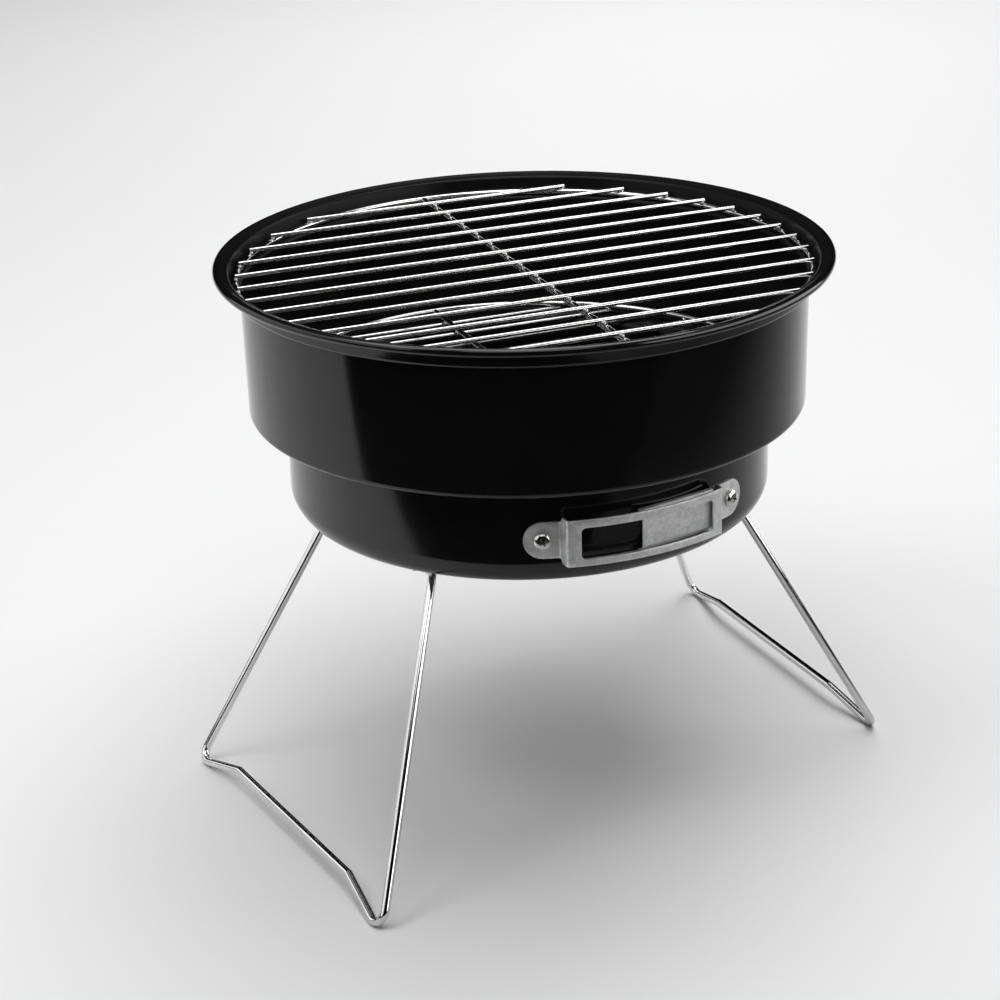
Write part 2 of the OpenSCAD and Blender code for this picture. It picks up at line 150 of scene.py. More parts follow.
def add_cleaned(name, mesh, weld_m, flat_deg=None, outward=None):
    """An object of this mesh with its doubled points welded and its faces turned outwards.

    With flat_deg, faces that meet flatter than that angle are merged. With outward, which an
    open sheet needs, the faces are turned to that side.
    """
    bm = bmesh.new()
    bm.from_mesh(mesh)
    bmesh.ops.remove_doubles(bm, verts=bm.verts, dist=weld_m)
    if flat_deg is not None:
        bmesh.ops.dissolve_limit(bm, angle_limit=math.radians(flat_deg),
                                 verts=bm.verts, edges=bm.edges)
    bmesh.ops.recalc_face_normals(bm, faces=bm.faces)
    if outward is not None:
        outermost = max(bm.faces, key=lambda f: f.calc_center_median().dot(outward))
        if outermost.normal.dot(outward) < 0:
            bmesh.ops.reverse_faces(bm, faces=bm.faces)
    bm.to_mesh(mesh)
    bm.free()
    return add_object(name, mesh)


def new_object(name, verts, faces):
    """A mesh object from a closed shape's points in millimetres."""
    return add_cleaned(name, mesh_in_mm(name, verts, faces), 1e-7)


def arc(cx, cz, r, start, end, steps):
    """Points of an arc, angles in degrees."""
    return [(cx + r * math.cos(math.radians(a)), cz + r * math.sin(math.radians(a)))
            for a in (start + (end - start) * i / steps for i in range(steps + 1))]


def lathe(profile, segments):
    """Vertices and faces of a closed outline turned about Z; it may start and end on the axis."""
    verts, faces, columns = [], [], []
    for r, z in profile:
        if r < 1e-6:
            columns.append([len(verts)] * segments)
            verts.append((0, 0, z))
        else:
            columns.append(list(range(len(verts), len(verts) + segments)))
            verts += [(r * math.cos(2 * math.pi * k / segments),
                       r * math.sin(2 * math.pi * k / segments), z) for k in range(segments)]
    pairs = list(zip(columns, columns[1:]))
    if profile[0][0] > 1e-6:
        pairs.append((columns[-1], columns[0]))
    for low, high in pairs:
        for k in range(segments):
            n = (k + 1) % segments
            corners = [low[k], low[n], high[n], high[k]]
            unique = list(dict.fromkeys(corners))
            if len(unique) > 2:
                faces.append(unique)
    return verts, faces


def join(parts):
    """Joins several (verts, faces) lists into one."""
    verts, faces = [], []
    for v, f in parts:
        base = len(verts)
        verts += v
        faces += [[i + base for i in face] for face in f]
    return verts, faces


def tube(points, radius, sides, closed=False, chamfer=0.3):
    """A wire along the points, with chamfered ends, its section carried along without twist."""
    pts = [Vector(p) for p in points]
    count = len(pts)
    if closed:
        ways = [(pts[(i + 1) % count] - pts[i - 1]).normalized() for i in range(count)]
    else:
        ways = [(pts[min(i + 1, count - 1)] - pts[max(i - 1, 0)]).normalized()
                for i in range(count)]
    up = Vector((0, 0, 1)) if abs(ways[0].z) < 0.9 else Vector((1, 0, 0))
    rings = []
    for p, way in zip(pts, ways):
        side = way.cross(up).normalized()
        up = side.cross(way).normalized()
        rings.append((p, side, up.copy(), radius))
    if not closed and chamfer:
        first, last = rings[0], rings[-1]
        rings[0] = (first[0] + ways[0] * chamfer, *first[1:])
        rings[-1] = (last[0] - ways[-1] * chamfer, *last[1:])
        rings.insert(0, (first[0], first[1], first[2], radius - chamfer))
        rings.append((last[0], last[1], last[2], radius - chamfer))
    verts = [p + (side * math.cos(a) + up * math.sin(a)) * r
             for p, side, up, r in rings
             for a in (2 * math.pi * k / sides for k in range(sides))]
    total = len(rings)
    faces = [[i * sides + k, i * sides + (k + 1) % sides,
              (i + 1) % total * sides + (k + 1) % sides, (i + 1) % total * sides + k]
             for i in range(total if closed else total - 1) for k in range(sides)]
    if not closed:
        faces.append(list(range(sides))[::-1])
        faces.append([(total - 1) * sides + k for k in range(sides)])
    return [tuple(v) for v in verts], faces


def rounded_route(points, bends, steps):
    """A flat route's points, with each inner corner rounded to its own bend radius."""
    pts = [Vector(p) for p in points]
    route = [pts[0]]
    for i in range(1, len(pts) - 1):
        before, after = (pts[i - 1] - pts[i]).normalized(), (pts[i + 1] - pts[i]).normalized()
        half = before.angle(after) / 2
        centre = pts[i] + (before + after).normalized() * bends[i] / math.sin(half)
        start = pts[i] + before * bends[i] / math.tan(half)
        end = pts[i] + after * bends[i] / math.tan(half)
        a, b = start - centre, end - centre
        sweep = a.angle(b)
        for k in range(steps + 1):
            t = k / steps
            blend = a * math.sin((1 - t) * sweep) + b * math.sin(t * sweep)
            route.append(centre + blend / math.sin(sweep))
    return route + [pts[-1]]


def turned(verts, angle):
    """The points turned about Z."""
    c, s = math.cos(angle), math.sin(angle)
    return [(x * c - y * s, x * s + y * c, z) for x, y, z in verts]


def moved(verts, matrix):
    """The points moved by a matrix."""
    return [tuple(matrix @ Vector(v)) for v in verts]


def cut(obj, *cutters):
    """Cuts closed solids out of a piece."""
    for verts, faces in cutters:
        tool = new_object("cutter", verts, faces)
        mod = obj.modifiers.new("cut", "BOOLEAN")
        mod.operation, mod.solver, mod.object = "DIFFERENCE", "EXACT", tool
        finished_mesh(obj)
        bpy.data.objects.remove(tool)


def bevel(obj, width_mm, angle=35):
    """Rounds off the piece's edges that are sharper than the angle."""
    mod = obj.modifiers.new("bevel", "BEVEL")
    mod.width, mod.segments = width_mm * MM, 2
    mod.limit_method, mod.angle_limit = "ANGLE", math.radians(angle)
    mod.miter_outer = "MITER_ARC"


# ---- Materials ----
def shader(name):
    """A new material with its Principled shader, a node maker and the object's own coordinates."""
    mat = bpy.data.materials.new(name)
    mat.use_nodes = True
    tree = mat.node_tree
    bsdf = tree.nodes["Principled BSDF"]
    coords = tree.nodes.new("ShaderNodeTexCoord").outputs["Object"]

    def node(kind, **inputs):
        """A node with its inputs set or linked: by name, or by number as i0, i1 and so on."""
        made = tree.nodes.new("ShaderNode" + kind)
        for key, value in inputs.items():
            numbered = key[0] == "i" and key[1:].isdigit()
            socket = made.inputs[int(key[1:]) if numbered else key]
            if hasattr(value, "is_linked"):
                tree.links.new(value, socket)
            else:
                socket.default_value = value
        return made
    return mat, tree, bsdf, coords, node


def stretched(node, coords, scale):
    """The coordinates stretched by a factor on each axis."""
    made = node("Mapping", Vector=coords)
    made.inputs["Scale"].default_value = scale
    return made.outputs["Vector"]


def noise(node, coords, scale, detail=2.0, rough=0.5):
    """Cloudy noise from 0 to 1."""
    made = node("TexNoise", Vector=coords, Scale=scale, Detail=detail, Roughness=rough)
    return made.outputs["Fac"]


def ramp(node, fac, *stops):
    """A colour ramp; each stop is (place, grey) or (place, (r, g, b))."""
    made = node("ValToRGB", Fac=fac)
    elements = made.color_ramp.elements
    while len(elements) < len(stops):
        elements.new(0.5)
    for element, (place, colour) in zip(elements, stops):
        element.position = place
        rgb = (colour,) * 3 if isinstance(colour, (int, float)) else colour
        element.color = (*rgb, 1)
    return made.outputs["Color"]


def mix(node, fac, a, b):
    """Blends two colours."""
    made = node("Mix")
    made.data_type = "RGBA"
    tree = made.id_data
    for socket, value in zip((made.inputs[0], made.inputs[6], made.inputs[7]), (fac, a, b)):
        if hasattr(value, "is_linked"):
            tree.links.new(value, socket)
        elif isinstance(value, (int, float)):
            socket.default_value = value
        else:
            socket.default_value = (*value, 1)
    return made.outputs[2]


def times(node, value, factor):
    """A value multiplied by a plain number."""
    made = node("Math", i0=value, i1=factor)
    made.operation = "MULTIPLY"
    return made.outputs[0]


def bump(node, height, strength, distance_mm, normal=None):
    """A bumped normal, on top of an earlier one if there is one."""
    extra = {"Normal": normal} if normal else {}
    made = node("Bump", Height=height, Strength=strength, Distance=distance_mm * MM, **extra)
    return made.outputs["Normal"]


def lighter_sharp_edges(node, lower=0.52, upper=0.6):
    """Bright where the surface turns sharply outwards."""
    return ramp(node, node("NewGeometry").outputs["Pointiness"], (lower, 0.0), (upper, 1.0))


def dress(tree, bsdf, colour, rough, normal):
    """Links a material's colour, roughness and normal to its shader."""
    for socket, value in (("Base Color", colour), ("Roughness", rough), ("Normal", normal)):
        tree.links.new(value, bsdf.inputs[socket])


def enamel_material(name, rough_low, rough_high, gloss):
    """Black enamel with a faint mottle, dust specks, scuffs and orange peel."""
    mat, tree, bsdf, coords, node = shader(name)
    mottled = noise(node, coords, 26, 4)
    specks = ramp(node, noise(node, coords, 900, 2, 0.7), (0.70, 0.0), (0.76, 1.0))
    film = ramp(node, noise(node, coords, 9, 3, 0.6), (0.38, 0.0), (0.72, 1.0))
    base = mix(node, mottled, (0.0035, 0.0035, 0.0038), (0.0065, 0.0062, 0.0062))
    dusty = mix(node, times(node, specks, 0.25), base, (0.05, 0.05, 0.048))
    scuffs = noise(node, stretched(node, coords, (90, 90, 900)), 1.0, 3, 0.6)
    edge = times(node, lighter_sharp_edges(node, 0.53, 0.62), 0.12)
    colour = mix(node, edge, dusty, (0.10, 0.10, 0.10))
    rough = mix(node, film, (rough_low,) * 3, (rough_high,) * 3)
    rough = mix(node, ramp(node, scuffs, (0.62, 0.0), (0.75, 0.5)), rough, (0.24,) * 3)
    peel = noise(node, coords, 420, 1)
    wave = noise(node, stretched(node, coords, (24, 24, 7)), 1.0, 1)
    normal = bump(node, wave, 0.15, 0.9)
    normal = bump(node, peel, 0.10, 0.04, normal)
    dress(tree, bsdf, colour, rough, normal)
    bsdf.inputs["IOR"].default_value = 1.5
    bsdf.inputs["Specular IOR Level"].default_value = gloss
    return mat


def zinc_material():
    """Zinc-coated sheet: spangle cells, finer flakes, a rolled grain and brighter edges."""
    mat, tree, bsdf, coords, node = shader("galvanised_spangle")
    cells = node("TexVoronoi", Vector=coords, Scale=420.0)
    flakes = node("TexVoronoi", Vector=coords, Scale=1500.0)
    grain = noise(node, stretched(node, coords, (2600, 2600, 260)), 1.0, 3, 0.7)
    tone = mix(node, 0.5, ramp(node, cells.outputs["Color"], (0.15, 0.66), (0.85, 0.97)),
               ramp(node, flakes.outputs["Color"], (0.2, 0.68), (0.8, 0.95)))
    tone = mix(node, times(node, grain, 0.5), tone, (0.50, 0.52, 0.51))
    bloom = ramp(node, noise(node, coords, 70, 4, 0.6), (0.5, 0.0), (0.78, 1.0))
    tone = mix(node, times(node, bloom, 0.35), tone, (0.78, 0.80, 0.78))
    edge = times(node, lighter_sharp_edges(node), 0.6)
    tone = mix(node, edge, tone, (0.86, 0.87, 0.86))
    rough = mix(node, cells.outputs["Color"], (0.38,) * 3, (0.52,) * 3)
    rough = mix(node, times(node, grain, 0.4), rough, (0.55,) * 3)
    normal = bump(node, grain, 0.25, 0.03)
    normal = bump(node, cells.outputs["Distance"], 0.15, 0.05, normal)
    dress(tree, bsdf, tone, rough, normal)
    bsdf.inputs["Metallic"].default_value = 0.85
    return mat


def chrome_material(name, tint, dirt, rough_low, rough_high, grain_scale, relief):
    """Bright plate with a fine grain, patchy haze and specks of dirt."""
    mat, tree, bsdf, coords, node = shader(name)
    haze = ramp(node, noise(node, coords, 60, 4, 0.6), (0.42, 0.0), (0.75, 1.0))
    specks = ramp(node, noise(node, coords, 1300, 2, 0.7), (0.70, 0.0), (0.80, 1.0))
    tone = mix(node, haze, tint, tuple(c * 0.86 for c in tint))
    tone = mix(node, times(node, specks, 0.5), tone, dirt)
    grain = noise(node, stretched(node, coords, grain_scale), 1.0, 3, 0.65)
    rough = mix(node, haze, (rough_low,) * 3, (rough_high,) * 3)
    rough = mix(node, times(node, specks, 0.6), rough, (0.5,) * 3)
    normal = bump(node, grain, relief, 0.03)
    dress(tree, bsdf, tone, rough, normal)
    bsdf.inputs["Metallic"].default_value = 1.0
    return mat


enamel = enamel_material("enamel_gloss_black", 0.085, 0.15, 0.5)
enamel_inside = enamel_material("enamel_dulled_inside", 0.26, 0.40, 0.1)
zinc = zinc_material()
leg_chrome = chrome_material("leg_chrome", (0.80, 0.80, 0.79), (0.20, 0.17, 0.13),
                             0.08, 0.18, (300, 300, 300), 0.05)
grate_chrome = chrome_material("grate_chrome", (0.72, 0.72, 0.715), (0.16, 0.13, 0.10),
                               0.13, 0.20, (120, 120, 120), 0.02)
fastener = chrome_material("fastener_nickel", (0.74, 0.73, 0.70), (0.22, 0.19, 0.15),
                           0.16, 0.30, (700, 700, 700), 0.15)


def piece(obj, body, slot_name, material, *replaced):
    """Finishes a piece: its material, the body it rides on and the CAD nodes it stands for."""
    obj.data.materials.clear()
    obj.data.materials.append(material)
    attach(obj, body)
    if replaced:
        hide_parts(*replaced)
    return obj


# ---- Bowl ----
def straight(start, end, between):
    """Points from a start, which comes first, up to just before an end."""
    gap = 0.4
    a, b = Vector(start), Vector(end)
    near = gap / (b - a).length
    return [tuple(a.lerp(b, k)) for k in (0, near, *between, 1 - near)]


def bowl_side(t):
    """The bowl's outline, t inside its outer face, from the axis up to the lip."""
    # rows close to both ends keep each flat stretch's shading flat
    step_in_z, step_out_z = STEP_Z - STEP_IN_R, STEP_Z + STEP_OUT_R
    foot_r = UPPER_R - UPPER_TAPER
    cove_z = LEDGE_Z - COVE_R
    bottom = straight((0, BOTTOM_Z + t), (LOWER_R - CORNER_R, BOTTOM_Z + t), (0.4, 0.8))
    lower_wall = straight((LOWER_R - t, BOTTOM_Z + CORNER_R), (LOWER_R - t, step_in_z),
                          (0.33, 0.67))
    step = straight((LOWER_R + STEP_IN_R, STEP_Z + t), (foot_r - STEP_OUT_R, STEP_Z + t), ())
    upper_wall = straight((foot_r - t, step_out_z), (UPPER_R - t, cove_z), (0.33, 0.67))
    return (bottom
            + arc(LOWER_R - CORNER_R, BOTTOM_Z + CORNER_R, CORNER_R - t, -90, 0, 18)
            + lower_wall[1:]
            + arc(LOWER_R + STEP_IN_R, step_in_z, STEP_IN_R + t, 180, 90, 8)
            + step[1:]
            + arc(foot_r - STEP_OUT_R, step_out_z, STEP_OUT_R - t, -90, 0, 8)
            + upper_wall[1:]
            + arc(UPPER_R + COVE_R, cove_z, COVE_R + t, 180, 90, 7)
            + arc(LEDGE_R - LEDGE_BEND_R, LEDGE_Z + LEDGE_BEND_R, LEDGE_BEND_R - t, -90, 0, 6)
            + arc(LIP_R + LIP_BEND_R, LIP_INNER - LIP_BEND_R - STEEL, LIP_BEND_R + t, 172, 98, 8))


def bead_outline():
    """Round the rolled bead, from under the lip to above it."""
    under = 180 - math.degrees(math.asin((LIP_TOP - STEEL - (RIM_TOP - BEAD_R)) / BEAD_R))
    above = 180 - math.degrees(math.asin((LIP_TOP - (RIM_TOP - BEAD_R)) / BEAD_R))
    return arc(RIM_R - BEAD_R, RIM_TOP - BEAD_R, BEAD_R, under, above + 360, 30)


def wall_cutter(angle, half_w, height, z):
    """A slot with round ends that goes through the drum wall at the given turn."""
    r = height / 2
    outline = [(half_w - r + r * math.cos(a), r * math.sin(a)) for a in
               (math.radians(-90 + 180 * k / 16) for k in range(17))]
    outline += [(-x, -y) for x, y in outline]
    count = len(outline)
    reach = 6
    verts = [(x, -LOWER_R + depth, z + y) for depth in (-reach, reach) for x, y in outline]
    faces = [list(range(count)), list(range(count, 2 * count))[::-1]]
    faces += [[k, (k + 1) % count, count + (k + 1) % count, count + k] for k in range(count)]
    return turned(verts, angle), faces


def on_drum(angle, radius, z):
    """Where +Z points to the axis from the drum's wall, turned by an angle from -Y."""
    return (Matrix.Rotation(angle, 4, "Z") @ Matrix.Translation((0, -radius, z))
            @ Matrix.Rotation(math.radians(-90), 4, "X"))


def at_hinge(side):
    """The middle of a hinge line on the ground, with +Y along it and +X pointing outwards."""
    x, turn = HINGES[side]
    return Matrix.Translation((x, 0, 0)) @ Matrix.Rotation(turn, 4, "Z")


def hinge_places(side, z):
    """The places of a hinge's two screws, at a height."""
    return [at_hinge(side) @ Matrix.Translation((0, end * HINGE_SCREW_Y, z)) for end in (-1, 1)]


def screw_bore(matrix, reach):
    """A cutter for a screw's bore that reaches this far both ways from a place."""
    verts, faces = tube([(0, 0, -reach), (0, 0, reach)], SCREW_BORE_R, 32, chamfer=0)
    return moved(verts, matrix), faces


bowl = new_object("bowl_shell", *lathe(bowl_side(0) + bead_outline() + bowl_side(STEEL)[::-1],
                                     BOWL_SEGMENTS))
cut(bowl, wall_cutter(AIR_SLOT_TURN, AIR_SLOT_HALF_W, AIR_SLOT_H, VENT_Z))
for side in (-1, 1):
    cut(bowl, screw_bore(on_drum(VENT_TURN + side * SCREW_ANGLE, LOWER_R, VENT_Z), 4))
    for matrix in hinge_places(side, BOTTOM_Z):
        cut(bowl, screw_bore(matrix, 3))
piece(bowl, "bowl", "enamel", enamel, "bowl")
# The fire dulls the inside: the faces that look inwards, and those that look up from the
# bottom and the step
DULL_FLOOR_R = 0.124
bowl.data.materials.append(enamel_inside)
for face in bowl.data.polygons:
    out = Vector((face.center.x, face.center.y, 0))
    looks_in = face.normal.dot(out.normalized()) < -0.3
    looks_up = face.normal.z > 0.5 and out.length < DULL_FLOOR_R
    if looks_in or looks_up:
        face.material_index = 1


# ---- Vent bracket: a folded sheet round the drum, with a window ----
def screw_turn(side):
    """How far a vent screw is turned from the middle of the raised frame."""
    return SCREW_ANGLE - side * FRAME_SHIFT


def bracket_end(side):
    """The sheet's outer face in plan from an ear's tip to the frame's front.

    Both ends are drawn as the right-hand one. The front's half angle comes with it.
    """
    screw, round_angle = screw_turn(side), EAR_H / 2 / EAR_R
    wall_x = FRAME_HALF_W
    ear_y = -math.sqrt(EAR_R ** 2 - wall_x ** 2)
    front_y = -math.sqrt(FRAME_R ** 2 - wall_x ** 2)
    fold = math.asin((wall_x + EAR_BEND_REACH) / EAR_R)
    tip = [screw + round_angle * math.cos(math.radians(90 * k / 14)) for k in range(15)]
    flat = [fold + (screw - fold) * (1 - k / 4) for k in range(1, 5)]
    angles = [a for a in tip if a > fold + 0.01] + flat
    ear = [(EAR_R * math.sin(a), -EAR_R * math.cos(a)) for a in angles]
    corner_in = rounded_route([(*ear[-1], 0), (wall_x, ear_y, 0), (wall_x, ear_y - 2.6, 0)],
                              [0, EAR_BEND, 0], 5)[1:]
    half = math.asin((wall_x - FRONT_BEND_REACH) / FRAME_R)
    front_start = (FRAME_R * math.sin(half), -FRAME_R * math.cos(half))
    corner_out = rounded_route(
        [(wall_x, front_y + 3.0, 0), (wall_x, front_y, 0), (*front_start, 0)],
        [0, FRONT_BEND, 0], 6)[:-1]
    return ear + [(p[0], p[1]) for p in corner_in + corner_out], half


def bracket_route():
    """The sheet's outer face in plan from the right ear's tip to the left's.

    Where the front starts and ends in it comes with it.
    """
    right, half = bracket_end(1)
    steps = 44
    turns = [half * (1 - 2 * k / steps) for k in range(steps + 1)]
    front = [(FRAME_R * math.sin(a), -FRAME_R * math.cos(a)) for a in turns]
    left = [(-x, y) for x, y in bracket_end(-1)[0]][::-1]
    return right + front + left, len(right), len(right) + len(front)


def bracket_mesh():
    """The bracket's outer face: a column of points at each place of the route, and its flange."""
    route, front_from, front_to = bracket_route()
    # columns also stand exactly on the window's ends and round its corners
    corner_x = [WINDOW_HALF_W - WINDOW_CORNER * (1 - math.cos(math.radians(a)))
                for a in (0, 22, 44, 66, 90)]
    front = [p for p in route[front_from:front_to]
             if all(abs(abs(p[0]) - x) > 0.5 for x in corner_x)
             and not WINDOW_HALF_W - WINDOW_CORNER < abs(p[0]) < WINDOW_HALF_W]
    front += [(s * x, -math.sqrt(FRAME_R ** 2 - x * x)) for x in corner_x for s in (-1, 1)]
    front.sort(key=lambda p: -p[0])
    columns = route[:front_from] + front + route[front_to:]
    front_to = front_from + len(front)
    low, high = WINDOW_Z - WINDOW_H / 2, WINDOW_Z + WINDOW_H / 2
    top, bottom = FRAME_BOTTOM + FRAME_H, FRAME_BOTTOM

    def hole(x):
        """The window's lower and upper edge at x."""
        inside = abs(x) - (WINDOW_HALF_W - WINDOW_CORNER)
        rise = WINDOW_CORNER if inside >= WINDOW_CORNER else (
            WINDOW_CORNER - math.sqrt(WINDOW_CORNER ** 2 - max(inside, 0) ** 2))
        return low + rise, high - rise

    def limits(index, x, y):
        """The sheet's lower and upper edge at a column."""
        if front_from <= index < front_to or math.hypot(x, y) > EAR_R + EAR_BEND_REACH:
            return bottom, top
        reach = (math.atan2(abs(x), -y) - screw_turn(1 if x > 0 else -1)) * EAR_R
        half = EAR_H / 2 if reach <= 0 else math.sqrt(max((EAR_H / 2) ** 2 - reach ** 2, 0.01))
        return VENT_Z - half, VENT_Z + half

    verts, rows = [], []
    for index, (x, y) in enumerate(columns):
        edge_low, edge_high = limits(index, x, y)
        a, b = hole(x) if abs(x) <= WINDOW_HALF_W + 1e-6 else hole(WINDOW_HALF_W)
        if edge_high - edge_low < FRAME_H - 0.1:
            a = edge_low + (edge_high - edge_low) * (low + WINDOW_CORNER - bottom) / FRAME_H
            b = edge_low + (edge_high - edge_low) * (high - WINDOW_CORNER - bottom) / FRAME_H
        heights = ([edge_low + (a - edge_low) * k / 3 for k in range(4)]
                   + [a + (b - a) * k / 4 for k in (1, 2, 3)]
                   + [b + (edge_high - b) * k / 3 for k in range(4)])
        rows.append([len(verts) + k for k in range(len(heights))])
        verts += [(x, y, z) for z in heights]
    faces = []
    for i, (one, two) in enumerate(zip(rows, rows[1:])):
        in_window = all(abs(columns[k][0]) <= WINDOW_HALF_W + 1e-6 for k in (i, i + 1))
        for k in range(len(one) - 1):
            if not (in_window and 3 <= k < 7):
                faces.append([one[k], two[k], two[k + 1], one[k + 1]])
    # the flange that closes the frame's bottom
    bend = 1.4
    flange = [(FRAME_R - bend + bend * math.cos(a), bottom + bend - bend * math.sin(a)) for a in
              (math.radians(90 * k / 5) for k in range(6))] + [(LOWER_R + 1.0, bottom)]
    strip = []
    for index in range(front_from, front_to):
        x, y = columns[index]
        if abs(x) > FRAME_HALF_W - FLANGE_END_GAP:
            continue
        angle = math.atan2(x, -y)
        strip.append([len(verts) + k for k in range(len(flange))])
        verts += [(r * math.sin(angle), -r * math.cos(angle), z) for r, z in flange]
    for one, two in zip(strip, strip[1:]):
        for k in range(len(one) - 1):
            faces.append([one[k], one[k + 1], two[k + 1], two[k]])
    return turned(verts, VENT_TURN + FRAME_SHIFT), faces


def sheet_piece(name, verts, faces, outward):
    """A sheet-metal piece from its outer face, thickened away from the outward side."""
    obj = add_cleaned(name, mesh_in_mm(name, verts, faces), 2e-6, outward=outward)
    mod = obj.modifiers.new("thick", "SOLIDIFY")
    mod.thickness, mod.offset, mod.use_even_offset = VENT_T * MM, -1, True
    bevel(obj, SHEET_BEVEL)
    return finished_mesh(obj)


bracket = sheet_piece("vent_frame", *bracket_mesh(), Vector((0, -1, 0)))
piece(bracket, "bowl", "galvanised", zinc, "vent_bracket")


# ---- Vent slider: a channel with sloping lips ----
def slider_mesh():
    """The slider's outer face: its section repeated across its width."""
    corners = [(SLIDER_FLANGE, 0), (SLIDER_FACE - SLIDER_LIP, 0), (SLIDER_FACE, SLIDER_LIP),
               (SLIDER_FACE, SLIDER_H - SLIDER_LIP), (SLIDER_FACE - SLIDER_LIP, SLIDER_H),
               (SLIDER_FLANGE, SLIDER_H)]
    section = rounded_route([(y, z, 0) for y, z in corners], [0, 1.0, 1.6, 1.6, 1.0, 0], 5)
    across = 12
    verts = [(SLIDER_HALF_W * (2 * i / across - 1), -p[0], SLIDER_BOTTOM + p[1])
             for i in range(across + 1) for p in section]
    n = len(section)
    faces = [[i * n + k, i * n + k + 1, (i + 1) * n + k + 1, (i + 1) * n + k]
             for i in range(across) for k in range(n - 1)]
    return turned(verts, SLIDER_TURN), faces


slider = sheet_piece("vent_shutter", *slider_mesh(), Vector((0.14, -0.99, 0)))
piece(slider, "vent_slider", "galvanised", zinc, "vent_slider")


# ---- Screws, washers and nuts ----
def screw_mesh(length):
    """A pan-head screw, its head under the origin and its ridged shank going up."""
    edge_r = 0.55
    dome = [(SCREW_HEAD_R * math.sin(a) * 0.86, -SCREW_HEAD_H * (0.62 + 0.38 * math.cos(a)))
            for a in (math.radians(10 * k) for k in range(1, 8))]
    head = ([(0, -SCREW_HEAD_H)] + dome
            + arc(SCREW_HEAD_R - edge_r, -0.95, edge_r, -55, 0, 4)
            + [(SCREW_HEAD_R, -0.25), (SCREW_HEAD_R - 0.15, -0.05), (SCREW_R, 0)])
    pitch = 0.7
    ridges = int(length / pitch) - 1
    turn = ((SCREW_R - 0.3, 0.15), (SCREW_R, 0.5), (SCREW_R, 0.6))
    thread = [(radius, (k + place) * pitch) for k in range(ridges) for radius, place in turn]
    return lathe(head + thread + [(SCREW_R - 0.4, length), (0, length)], 40)


def recess_cutter():
    """The two tapering arms of a screw's cross recess."""
    parts = []
    for turn in (0, math.pi / 2):
        outer, inner = (2.35, 0.46, -SCREW_HEAD_H - 0.5), (1.1, 0.34, -SCREW_HEAD_H + 1.5)
        verts = [(sx * w, sy * h, z) for w, h, z in (outer, inner)
                 for sx, sy in ((-1, -1), (1, -1), (1, 1), (-1, 1))]
        faces = [[0, 1, 2, 3], [7, 6, 5, 4], [0, 4, 5, 1], [1, 5, 6, 2], [2, 6, 7, 3], [3, 7, 4, 0]]
        parts.append((turned(verts, turn + RECESS_TURN), faces))
    return parts


def screws(name, length, places, node_name):
    """Screws at several places, each turned its own way."""
    parts = []
    pick = random.Random(name)
    for matrix in places:
        tool = new_object("one", *screw_mesh(length))
        cut(tool, *recess_cutter())
        spin = Matrix.Rotation(pick.uniform(0, math.pi / 2), 4, "Z")
        verts = [tuple(matrix @ (spin @ (v.co / MM))) for v in tool.data.vertices]
        parts.append((verts, [list(p.vertices) for p in tool.data.polygons]))
        bpy.data.objects.remove(tool)
    obj = finished_mesh(new_object(name, *join(parts)), 28)
    return piece(obj, "bowl", "fastener", fastener, node_name)


screws("vent_screw_pair", VENT_SCREW_LENGTH,
       [on_drum(VENT_TURN + side * SCREW_ANGLE, EAR_R + 0.02, VENT_Z) for side in (-1, 1)],
       "vent_screws")
for side, word in ((-1, "left"), (1, "right")):
    screws(f"{word}_hinge_screw_pair", HINGE_SCREW_LENGTH,
           hinge_places(side, STRAP_UNDER_Z), f"{word}_hinge_screws")


def softened_copy(node_name, name, width_mm, body, slot_name, material):
    """A copy of a CAD node's shape with its edges rounded off."""
    obj = add_cleaned(name, nodes[node_name].data.copy(), 1e-6, flat_deg=1.5)
    bevel(obj, width_mm, angle=40)
    return piece(finished_mesh(obj), body, slot_name, material, node_name)


for word in ("vent", "left_hinge", "right_hinge"):
    softened_copy(f"{word}_nuts", f"{word}_nut_pair", 0.25, "bowl", "fastener", fastener)
    softened_copy(f"{word}_washers", f"{word}_washer_pair", 0.12, "bowl", "fastener", fastener)
for word in ("left", "right"):
    softened_copy(f"{word}_hinge_strap", f"{word}_hinge_bracket", 0.18, "bowl", "galvanised", zinc)


# ---- Legs ----
def leg_route():
    """One leg wire in its own plane, as points across and down the leg."""
    def raked(u, s):
        """A point moved sideways in step with how far down the leg it is."""
        return Vector((u + LEG_RAKE * s / LEG_REACH, s, 0))

    def foot_corner(side, s):
        """The sharp corner that a foot's bend rounds off, s down the leg."""
        return raked(side * (LEG_HALF_W + LEG_FLARE * s), s)

    def crank_end(side):
        """Where the crank that rises from a foot meets the cross wire."""
        return raked(side * CROSS_HALF_W, LEG_REACH - CROSS_RISE)

    def bend_drop(side, s):
        """How far a foot's rounded bend reaches down from its sharp corner."""
        corner = foot_corner(side, s)
        inward = (corner - Vector((side * LEG_HALF_W, 0, 0))).normalized()
        outward = (crank_end(side) - corner).normalized()
        turn = inward.angle(outward)
        across = (outward - inward * math.cos(turn)) / math.sin(turn)
        return FOOT_BEND * (across.y + 1 - inward.y * math.tan(turn / 2))

    def half(side):
        """One side's corners, with the foot's set so that its rounded bend just reaches the ground."""
        s = LEG_REACH + FOOT_BEND
        for _ in range(6):
            s = LEG_REACH - bend_drop(side, s)
        return [Vector((side * PIN_END, 0, 0)), Vector((side * LEG_HALF_W, 0, 0)),
                foot_corner(side, s), crank_end(side)]

    bends = [0, SIDE_BEND, FOOT_BEND, CROSS_BEND, CROSS_BEND, FOOT_BEND, SIDE_BEND, 0]
    return rounded_route(half(-1) + half(1)[::-1], bends, 14)


